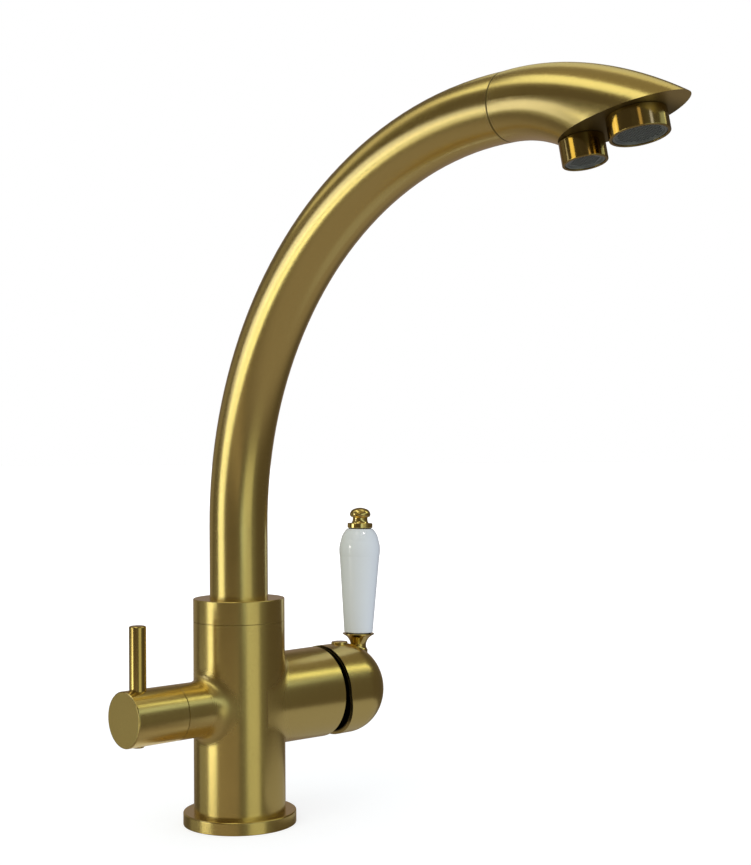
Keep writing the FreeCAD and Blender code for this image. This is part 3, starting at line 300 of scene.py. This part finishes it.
def knob_round(n):
    """Whole on the knob's round side, nothing on its end face."""
    return n.span(n.split(n.node("ShaderNodeTexCoord").outputs["Normal"])[0], -0.95, -0.99, 1.0, 0.0)


def seam_painted_shade(n):
    """Painted shade: both sides of the joint between the tube and the head are painted dark at the very edge, where
    the gap lies in shade.
    """
    off = n.math("ABSOLUTE", n.math("SUBTRACT", n.travel, (math.radians(BEND_ANGLE) * BEND_R - 0.06) * MM))
    return n.span(off, 0.0002, 0.0007, 0.62, 0.0, smooth=True)


def head_shadow(n):
    """Painted shade: the flat under the head is painted dark between the outlets, less towards its tip, and the seam's
    painted shade is added.
    """
    t = n.node("ShaderNodeTexCoord")
    facing = n.vec("DOT_PRODUCT", t.outputs["Normal"], Vector(DOWN.tolist()))
    travel = n.vec("DOT_PRODUCT", n.vec("SUBTRACT", t.outputs["Object"], Vector((FLAT * MM).tolist())), Vector(TIP.tolist()))
    flat = n.math("MULTIPLY", n.span(facing, 0.97, 0.995, 0.0, 1.0), n.span(travel, 0.012, 0.024, 0.80, 0.30, smooth=True))
    return n.math("MAXIMUM", flat, seam_painted_shade(n))


def plain(name, colour, rough, metallic=0.0, scale=900.0, bump=0.15, depth=0.00004, change=0.12, coat=0.0, ior=1.5, specular=0.5):
    """Moulded, ceramic or steel surface: fine grain in its colour, gloss and relief."""
    n = Net(name)
    place = n.node("ShaderNodeTexCoord").outputs["Object"]
    fine = n.noise(place, scale, 3.0, 0.6)
    cloud = n.noise(place, scale * 0.08, 2.0, 0.5)
    share = n.math("ADD", n.math("MULTIPLY", fine, 0.5), n.math("MULTIPLY", cloud, 0.5))
    light = tuple(min(1.0, c * (1 + change)) for c in colour) + (1.0,)
    dark = tuple(c * (1 - change) for c in colour) + (1.0,)
    n.put(n.bsdf.inputs["Base Color"], n.mix(share, dark, light))
    n.put(n.bsdf.inputs["Roughness"], n.span(share, 0.0, 1.0, max(0.02, rough - 0.06), rough + 0.06))
    n.put(n.bsdf.inputs["Normal"], n.bump(fine, bump, depth))
    n.bsdf.inputs["Metallic"].default_value = metallic
    n.bsdf.inputs["Coat Weight"].default_value = coat
    n.bsdf.inputs["Coat Roughness"].default_value = 0.06
    n.bsdf.inputs["IOR"].default_value = ior
    n.bsdf.inputs["Specular IOR Level"].default_value = specular
    return n.mat


# ------------------------------------------------------------------ finishes
Z, X = (0, 0, 1), (1, 0, 0)
branch = (0, 0, H * MM)
lever_axis = (math.sin(LEAN), 0, math.cos(LEAN))
lever_foot = (0.0793, 0, 0.0770)
BRUSHED = dict(rough=0.25, aniso=0.3)
POLISHED = dict(rough=0.11, aniso=0.2, marks=0.4, mottle=0.5)

def set_look(node, mat):
    o = frame["nodes"][node]
    if not o.data.materials:
        o.data.materials.append(mat)
    for s in o.material_slots:
        s.material = mat


column_brass = brass("brushed_upright", axis=((0, 0, 0), Z), **BRUSHED)
for node in ("base_ring", "spout_collar"):
    set_look(node, column_brass)
set_look("tap_body", brass("brushed_body", form="body", painted_shade=body_end_painted_shade, extra=body_joins, **BRUSHED))
bend_brass = brass("brushed_bend", form="bend", painted_shade=seam_painted_shade, **BRUSHED)
set_look("spout_tube", bend_brass)
set_look("spout_head", brass("brushed_head", form="bend", painted_shade=head_shadow, **BRUSHED))
set_look("mixer_handle_dome", brass("brushed_dome", axis=(branch, X), painted_shade=dome_bore_painted_shade, **BRUSHED))
set_look("filter_handle", brass("brushed_knob", axis=(branch, X), extra=knob_cap, level=knob_round, **BRUSHED))
bare = brass("turned_bare_brass", axis=(branch, X), rough=0.28, aniso=0.3, colour=(0.78, 0.56, 0.22))
for node in ("filter_valve_housing", "filter_spindle", "cartridge_stem"):
    set_look(node, bare)
# painted shade: the cartridge nut is near black so that the gap behind the dome reads as shade
set_look("cartridge_nut", plain("nut_painted_gap_shade", (0.022, 0.020, 0.018), 0.5, metallic=0.5, scale=1400.0, bump=0.2))
set_look("spout_stub", brass("turned_bare_sleeve", axis=((0, 0, 0), Z), rough=0.28, aniso=0.3, colour=(0.78, 0.56, 0.22)))
flat_at = FLAT * MM
for which, along in (("main", 4.17), ("filter", -22.63)):
    at = tuple((FLAT + TIP * along) * MM)
    set_look(which + "_outlet_sleeve", brass(which + "_sleeve_polish", axis=(at, tuple(DOWN)), colour=(0.40, 0.295, 0.105),
                                             rough=0.14, aniso=0.5, marks=0.6, mottle=0.5))
for node, origin in (("lever_cup", lever_foot), ("lever_finial", lever_foot)):
    set_look(node, brass(node + "_polish", axis=(origin, lever_axis), **POLISHED))
set_look("handle_index_button", brass("button_polish", axis=((0.0661, 0, 0), Z), **POLISHED))
set_look("filter_lever_pin", brass("pin_polish", axis=((-0.0595, 0, 0), Z), rough=0.15, aniso=0.3, colour=(0.66, 0.49, 0.17), marks=0.5))

porcelain = plain("white_glaze", (0.85, 0.87, 0.86), 0.17, scale=160.0, bump=0.02, change=0.015, coat=0.45)
rubber = plain("black_rubber_skin", (0.018, 0.018, 0.019), 0.62, scale=1500.0, bump=0.3)
moulded = plain("moulded_nylon", (0.62, 0.62, 0.60), 0.42, scale=1300.0, bump=0.2)
mesh_look = plain("aerator_nylon", (0.105, 0.108, 0.098), 0.34, scale=1600.0, bump=0.2)
steel = plain("turned_steel", (0.56, 0.56, 0.55), 0.3, metallic=1.0, scale=1500.0, bump=0.2)
ceramic = plain("lapped_ceramic", (0.80, 0.79, 0.76), 0.22, scale=700.0, bump=0.05, change=0.03)
set_look("porcelain_lever", porcelain)
for node in ("base_gasket", "spout_o_rings", "water_tube_o_ring", "cartridge_seal", "filter_valve_seal",
             "filter_valve_o_ring", "aerator_washers", "lever_washers", "spindle_o_ring"):
    set_look(node, rubber)
for node in ("swivel_bush", "cartridge_housing", "filter_water_tube", "cartridge_carrier", "disc_driver"):
    set_look(node, moulded)


def honeycomb(name, along, seat, drop, top, body):
    """An aerator insert: the moulded cup, with a honeycomb screen set in its face."""
    origin = Vector(tuple(float(v) for v in FLAT + TIP * along))
    out, side = Vector(tuple(float(v) for v in DOWN)), Vector((1.0, 0.0, 0.0))
    over = Vector(tuple(float(v) for v in TIP))
    inner, face = seat - 1.25, drop - 1.0
    ring = [(0.0, top), (seat - 0.05, top), (seat - 0.05, drop - 0.55), (seat - 0.10, drop - 0.45), (seat - 0.35, drop - 0.40),
            (seat - 0.95, drop - 0.40), (seat - 1.05, drop - 0.46), (inner, face)]
    count, pitch, wall, deep = 72, 1.32, 0.26, 0.9
    bm = bmesh.new()
    known = {}

    def vert(x, y, z):
        key = (round(x, 4), round(y, 4), round(z, 4))
        if key not in known:
            known[key] = bm.verts.new((origin + side * x + over * y + out * z) * MM)
        return known[key]

    def quad(*points):
        made = []
        for v in (vert(*p) for p in points):
            if v not in made:
                made.append(v)
        if len(made) > 2 and not bm.faces.get(made):
            bm.faces.new(made)

    angles = [2 * math.pi * k / count for k in range(count)]
    for (r0, z0), (r1, z1) in zip(ring[:-1], ring[1:]):
        for k in range(count):
            a, b = angles[k], angles[(k + 1) % count]
            quad((r0 * math.cos(a), r0 * math.sin(a), z0), (r0 * math.cos(b), r0 * math.sin(b), z0),
                 (r1 * math.cos(b), r1 * math.sin(b), z1), (r1 * math.cos(a), r1 * math.sin(a), z1))
    cells, span_ = [], int(seat / pitch) + 3
    for i in range(-span_, span_ + 1):
        for j in range(-span_, span_ + 1):
            x, y = pitch * (i + 0.5 * (j % 2)), pitch * j * math.sqrt(3) / 2
            if math.hypot(x, y) < inner - pitch * 0.68:
                cells.append((x, y))

    def hexagon(x, y, r):
        return [(x + r * math.sin(math.pi / 3 * k), y + r * math.cos(math.pi / 3 * k)) for k in range(6)]

    outline = {}
    for x, y in cells:
        big, small = hexagon(x, y, pitch / math.sqrt(3)), hexagon(x, y, (pitch - wall) / math.sqrt(3))
        for k in range(6):
            j = (k + 1) % 6
            quad(big[k] + (face,), big[j] + (face,), small[j] + (face,), small[k] + (face,))
            quad(small[k] + (face,), small[j] + (face,), small[j] + (face - deep,), small[k] + (face - deep,))
            ends = tuple(sorted(((round(big[k][0], 4), round(big[k][1], 4)), (round(big[j][0], 4), round(big[j][1], 4)))))
            outline[ends] = outline.get(ends, 0) + 1
        quad(*[q + (face - deep,) for q in small])
    points, index = [], {}

    def at(p):
        if p not in index:
            index[p] = len(points)
            points.append(Vector(p))
        return index[p]

    edges = [(at(a), at(b)) for (a, b), times in outline.items() if times == 1]
    round_ = [(round(inner * math.cos(a), 4), round(inner * math.sin(a), 4)) for a in angles]
    edges += [(at(round_[k]), at(round_[(k + 1) % count])) for k in range(count)]
    verts, _, tris = delaunay_2d_cdt(points, edges, [], 0, 1e-5)[:3]
    for tri in tris:
        cx, cy = sum(verts[k][0] for k in tri) / 3, sum(verts[k][1] for k in tri) / 3
        if min(math.hypot(cx - x, cy - y) for x, y in cells) > pitch * 0.53:
            quad(*[(verts[k][0], verts[k][1], face) for k in tri])
    bmesh.ops.recalc_face_normals(bm, faces=bm.faces)
    mesh = bpy.data.meshes.new(name)
    bm.to_mesh(mesh)
    bm.free()
    for f in mesh.polygons:
        f.use_smooth = True
    mesh.set_sharp_from_angle(angle=math.radians(28))
    mesh.materials.append(mesh_look)
    piece = bpy.data.objects.new(name, mesh)
    scene.collection.objects.link(piece)
    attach(piece, body)
    return piece


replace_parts(honeycomb("main_aerator_screen", 4.17, 10.45, 8.73, 2.85, "spout"), "main_aerator")
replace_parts(honeycomb("filter_aerator_screen", -22.63, 7.85, 9.73, 3.05, "spout"), "filter_aerator")
for node in ("spout_retaining_screw", "stem_pin", "handle_grub_screw", "lever_rod", "filter_grub_screw"):
    set_look(node, steel)
for node in ("fixed_ceramic_disc", "filter_fixed_disc", "moving_ceramic_disc", "filter_moving_disc"):
    set_look(node, ceramic)

# ------------------------------------------------------------------ camera
cam = bpy.data.objects.new("camera", bpy.data.cameras.new("camera"))
scene.collection.objects.link(cam)
right = Vector((0.731984862, -0.681289894, -0.006499478))
up = Vector((-0.004645148, -0.014529645, 0.999883649))
ahead = Vector((0.68130506, 0.731869504, 0.013800173))
cam.matrix_world = Matrix.Translation((-0.445794239, -0.578644251, 0.181429714)) @ Matrix(
    (right, up, -ahead)).transposed().to_4x4()
cam.data.sensor_fit = "VERTICAL"
cam.data.sensor_height = 36.0
cam.data.sensor_width = 36.0
cam.data.lens = 61.203
cam.data.clip_start, cam.data.clip_end = 0.02, 60.0
scene.camera = cam

# ------------------------------------------------------------------ floor, world, lights
CENTRE = Vector((0.0, -0.10, 0.17))
FACING = -127.611                            # direction of the camera from the object, degrees

me = bpy.data.meshes.new("floor")
n_ring, rings = 96, [0.0] + [0.25 * 1.5 ** k for k in range(12)]
bm = bmesh.new()
loops = []
for r in rings:
    loops.append([bm.verts.new((r * math.cos(2 * math.pi * k / n_ring), r * math.sin(2 * math.pi * k / n_ring), 0.0))
                  for k in range(n_ring)] if r else [bm.verts.new((0, 0, 0.0))])
for a, b in zip(loops[:-1], loops[1:]):
    for k in range(n_ring):
        j = (k + 1) % n_ring
        bm.faces.new((a[0], b[k], b[j]) if len(a) == 1 else (a[k], b[k], b[j], a[j]))
bm.to_mesh(me)
bm.free()
floor = bpy.data.objects.new("floor", me)
scene.collection.objects.link(floor)
fl = Net("pale_floor")
fl.bsdf.inputs["Roughness"].default_value = 0.75
fl.bsdf.inputs["Specular IOR Level"].default_value = 0.1
place = fl.node("ShaderNodeTexCoord").outputs["Object"]
fl.put(fl.bsdf.inputs["Base Color"], fl.mix(fl.noise(place, 40.0, 3.0), (0.44, 0.44, 0.44, 1), (0.46, 0.46, 0.46, 1)))
fl.bsdf.inputs["Emission Color"].default_value = (1, 1, 1, 1)
away_ = fl.vec("LENGTH", place)
fl.put(fl.bsdf.inputs["Emission Strength"], fl.span(away_, 0.12, 0.9, 0.70, 1.02, smooth=True))
me.materials.append(fl.mat)
floor.visible_glossy = False
floor.visible_shadow = False
floor.visible_diffuse = False

# the lit counter beside the mixer, which only the brass mirrors
me = bpy.data.meshes.new("bounce_card")
bm = bmesh.new()
bmesh.ops.create_circle(bm, cap_ends=True, radius=0.09, segments=64, matrix=Matrix.Translation((0.115, -0.06, -0.001)))
bm.to_mesh(me)
bm.free()
card = bpy.data.objects.new("bounce_card", me)
scene.collection.objects.link(card)
shade = Net("bounce_card")
shade.bsdf.inputs["Base Color"].default_value = (0.05, 0.05, 0.05, 1)
shade.bsdf.inputs["Roughness"].default_value = 0.9
shade.bsdf.inputs["Specular IOR Level"].default_value = 0.0
shade.bsdf.inputs["Emission Color"].default_value = (1.0, 0.96, 0.86, 1)
shade.bsdf.inputs["Emission Strength"].default_value = 0.29
me.materials.append(shade.mat)
card.visible_camera = card.visible_diffuse = card.visible_shadow = False

world = bpy.data.worlds.new("studio")
scene.world = world
world.use_nodes = True
nt = world.node_tree
nt.nodes.clear()


def wnode(kind, **props):
    n = nt.nodes.new(kind)
    for k, v in props.items():
        setattr(n, k, v)
    return n


def wmath(op, a, b=None, clamp=False):
    n = wnode("ShaderNodeMath", operation=op, use_clamp=clamp)
    for s, v in zip(n.inputs, (a, b)):
        if isinstance(v, bpy.types.NodeSocket):
            nt.links.new(v, s)
        elif v is not None:
            s.default_value = v
    return n.outputs[0]


def wspan(value, low, high, to_low=0.0, to_high=1.0):
    n = wnode("ShaderNodeMapRange", interpolation_type="SMOOTHSTEP")
    nt.links.new(value, n.inputs[0])
    for s, v in zip(n.inputs[1:5], (low, high, to_low, to_high)):
        s.default_value = v
    return n.outputs[0]


def wmix(share, a, b):
    n = wnode("ShaderNodeMix", data_type="RGBA")
    for s, v in ((n.inputs[0], share), (n.inputs[6], a), (n.inputs[7], b)):
        if isinstance(v, bpy.types.NodeSocket):
            nt.links.new(v, s)
        else:
            s.default_value = v
    return n.outputs[2]


def grey(v, tint=(1, 1, 1)):
    return (v * tint[0], v * tint[1], v * tint[2], 1.0)


def heading(rel, el=0.0):
    a, e = math.radians(FACING + rel), math.radians(el)
    return Vector((math.cos(a) * math.cos(e), math.sin(a) * math.cos(e), math.sin(e)))


direction = wnode("ShaderNodeTexCoord").outputs["Generated"]


def toward(vector):
    n = wnode("ShaderNodeVectorMath", operation="DOT_PRODUCT")
    nt.links.new(direction, n.inputs[0])
    n.inputs[1].default_value = vector
    return n.outputs["Value"]


def wash(sum_, value, low, high, colour):
    """Adds a broad glow to the room where a value runs from low to high."""
    n = wnode("ShaderNodeVectorMath", operation="MULTIPLY_ADD")
    nt.links.new(wspan(value, low, high), n.inputs[0])
    n.inputs[1].default_value = colour
    if isinstance(sum_, bpy.types.NodeSocket):
        nt.links.new(sum_, n.inputs[2])
    else:
        n.inputs[2].default_value = sum_
    return n.outputs["Vector"]


height, behind = toward((0, 0, 1)), toward(heading(180))
base = wash((0.095, 0.079, 0.056), height, -0.28, -0.68, (0.166, 0.150, 0.136))       # pale floor below
base = wash(base, behind, 0.80, 0.98, (0.174, 0.144, 0.154))                             # back wall
base = wash(base, height, 0.55, 0.90, (0.164, 0.144, 0.090))                             # ceiling
base = wash(base, toward(heading(35, 5)), 0.68, 0.97, (0.075, 0.088, 0.072))          # bright side of the room
rays = wnode("ShaderNodeLightPath")
shown = wnode("ShaderNodeBackground")
nt.links.new(base, shown.inputs["Color"])
white = wnode("ShaderNodeBackground")
white.inputs["Color"].default_value = (1, 1, 1, 1)
fill = wnode("ShaderNodeBackground")
nt.links.new(wmix(wspan(toward(heading(95)), -0.7, 0.7), (0.96, 1.0, 0.90, 1), (0.92, 1.0, 1.16, 1)), fill.inputs["Color"])
fill.inputs["Strength"].default_value = 0.70
first, second = wnode("ShaderNodeMixShader"), wnode("ShaderNodeMixShader")
nt.links.new(rays.outputs["Is Diffuse Ray"], first.inputs[0])
nt.links.new(shown.outputs[0], first.inputs[1])
nt.links.new(fill.outputs[0], first.inputs[2])
nt.links.new(rays.outputs["Is Camera Ray"], second.inputs[0])
nt.links.new(first.outputs[0], second.inputs[1])
nt.links.new(white.outputs[0], second.inputs[2])
end = wnode("ShaderNodeOutputWorld")
nt.links.new(second.outputs[0], end.inputs["Surface"])
world.cycles.sampling_method = "NONE"


def panel(name, rel, el, wide, tall, radiance, colour=(1, 1, 1), away=2.0, tilt=0.0, glossy=True, diffuse=True):
    """A soft box seen from the middle of the object over wide by tall degrees, of a given radiance."""
    light = bpy.data.lights.new(name, "AREA")
    light.shape = "RECTANGLE"
    light.size = 2 * away * math.tan(math.radians(wide) / 2)
    light.size_y = 2 * away * math.tan(math.radians(tall) / 2)
    light.energy = radiance * math.pi * light.size * light.size_y
    light.color = colour if diffuse else tuple(c * k for c, k in zip(colour, (1.025, 0.96, 0.906)))
    o = bpy.data.objects.new(name, light)
    scene.collection.objects.link(o)
    out = heading(rel, el)
    side = Vector((-math.sin(math.radians(FACING + rel)), math.cos(math.radians(FACING + rel)), 0))
    over = out.cross(side)
    t = math.radians(tilt)
    across, upward = side * math.cos(t) + over * math.sin(t), over * math.cos(t) - side * math.sin(t)
    turn = Matrix((across, upward, out)).transposed().to_4x4()
    o.matrix_world = Matrix.Translation(CENTRE + out * away) @ turn
    o.visible_glossy = glossy
    o.visible_diffuse = diffuse
    o.visible_camera = False
    return o


panel("key", -95, 16, 16, 25, 1.58, (0.74, 0.83, 1.0), away=0.42, tilt=-34, diffuse=False)
panel("key_b", -77, -2, 26, 8, 2.15, (0.89, 1.0, 0.94), away=1.73, tilt=7, diffuse=False)
panel("key_low", -74, -13, 24, 9, 2.3, (0.92, 1.0, 0.86), away=1.73, tilt=4, diffuse=False)
panel("over", -58, 63, 66, 19, 1.13, (0.89, 1.0, 0.81), away=0.70, tilt=-21, diffuse=False)
panel("over_end", -127, 47, 15, 31, 0.56, (0.96, 1.0, 0.72), away=0.50, tilt=12, diffuse=False)
panel("right_low", 35, -12, 34, 20, 0.50, (0.89, 1.0, 0.77), away=3.51, tilt=-3, diffuse=False)
panel("right_mid", 45, 17, 90, 19, 0.68, (0.75, 1.0, 0.99), away=0.57, tilt=25, diffuse=False)
panel("right_high", 99, 37, 24, 10, 1.58, (0.87, 1.0, 0.67), away=2.13, tilt=-61, diffuse=False)
panel("back_high", 139, 65, 46, 20, 0.52, (0.92, 1.0, 0.72), away=0.50, tilt=-22, diffuse=False)
panel("front_low", -30, -15, 54, 6, 0.42, (1.0, 0.92, 0.72), away=4.00, tilt=0, diffuse=False)
panel("left_back", -132, 5, 21, 60, 0.12, (1.0, 1.0, 0.80), away=0.55, tilt=-29, diffuse=False)
panel("cap", -104, -12, 30, 9, 0.26, (0.88, 1.0, 0.88), away=4.00, tilt=1, diffuse=False)
panel("soft_front", -35, 35, 50, 50, 1.0, (1.0, 0.99, 0.97), glossy=False)

# the boxes light the metal; the glaze mirrors small lamps of its own
metal = bpy.data.collections.new("metal")
for o in scene.collection.objects:
    if o.type == "MESH" and o.name != "porcelain_lever":
        metal.objects.link(o)
for o in frame["nodes"].values():
    if o.name != "porcelain_lever" and o.name not in metal.objects:
        metal.objects.link(o)
for o in scene.collection.objects:
    if o.type == "LIGHT" and not o.visible_diffuse:
        o.light_linking.receiver_collection = metal
glazed = bpy.data.collections.new("glazed")
glazed.objects.link(frame["nodes"]["porcelain_lever"])
for name, rel, el, wide, tall, radiance in (("lamp_a", -40, 61, 4.0, 4.0, 32.0), ("lamp_b", 44, 61, 4.5, 5.0, 45.0),
                                           ("lamp_c", -67, 10, 4.0, 7.0, 40.0), ("lamp_d", -66, -6, 2.5, 9.0, 14.0)):
    lamp = panel(name, rel, el, wide, tall, radiance, diffuse=False)
    lamp.light_linking.receiver_collection = glazed
    lamp.light_linking.blocker_collection = glazed

# a low glow that only the knob and its pin mirror
knob_parts = bpy.data.collections.new("knob_parts")
knob_parts.objects.link(frame["nodes"]["filter_handle"])
lamp = panel("knob_glow", 150, -42, 70, 40, 0.42, (0.92, 1.0, 1.0), away=1.0, diffuse=False)
lamp.light_linking.receiver_collection = knob_parts
lamp.light_linking.blocker_collection = knob_parts

# narrow boxes that only the polished sleeves mirror
for node, name, rel, el, wide, radiance, colour in (
        ("filter_outlet_sleeve", "sleeve_a", -71, 15, 20, 2.1, (1.0, 0.88, 0.34)),
        ("filter_outlet_sleeve", "sleeve_b", 12, 29, 7, 1.1, (1.0, 0.76, 0.38)),
        ("main_outlet_sleeve", "sleeve_c", -110, 15, 28, 2.1, (1.0, 0.88, 0.34)),
        ("main_outlet_sleeve", "sleeve_d", -8, 27, 9, 0.9, (1.0, 0.80, 0.42)),
        ("main_outlet_sleeve", "sleeve_e", 35, 30, 9, 2.0, (0.42, 0.52, 1.0))):
    own = bpy.data.collections.new(name + "_receiver")
    own.objects.link(frame["nodes"][node])
    lamp = panel(name, rel, el, wide, 52, radiance, colour, away=4.0, diffuse=False)
    lamp.light_linking.receiver_collection = own
    lamp.light_linking.blocker_collection = own

scene.view_settings.view_transform = "Standard"
scene.view_settings.look = "None"
scene.view_settings.exposure = 0.0
scene.view_settings.gamma = 1.0
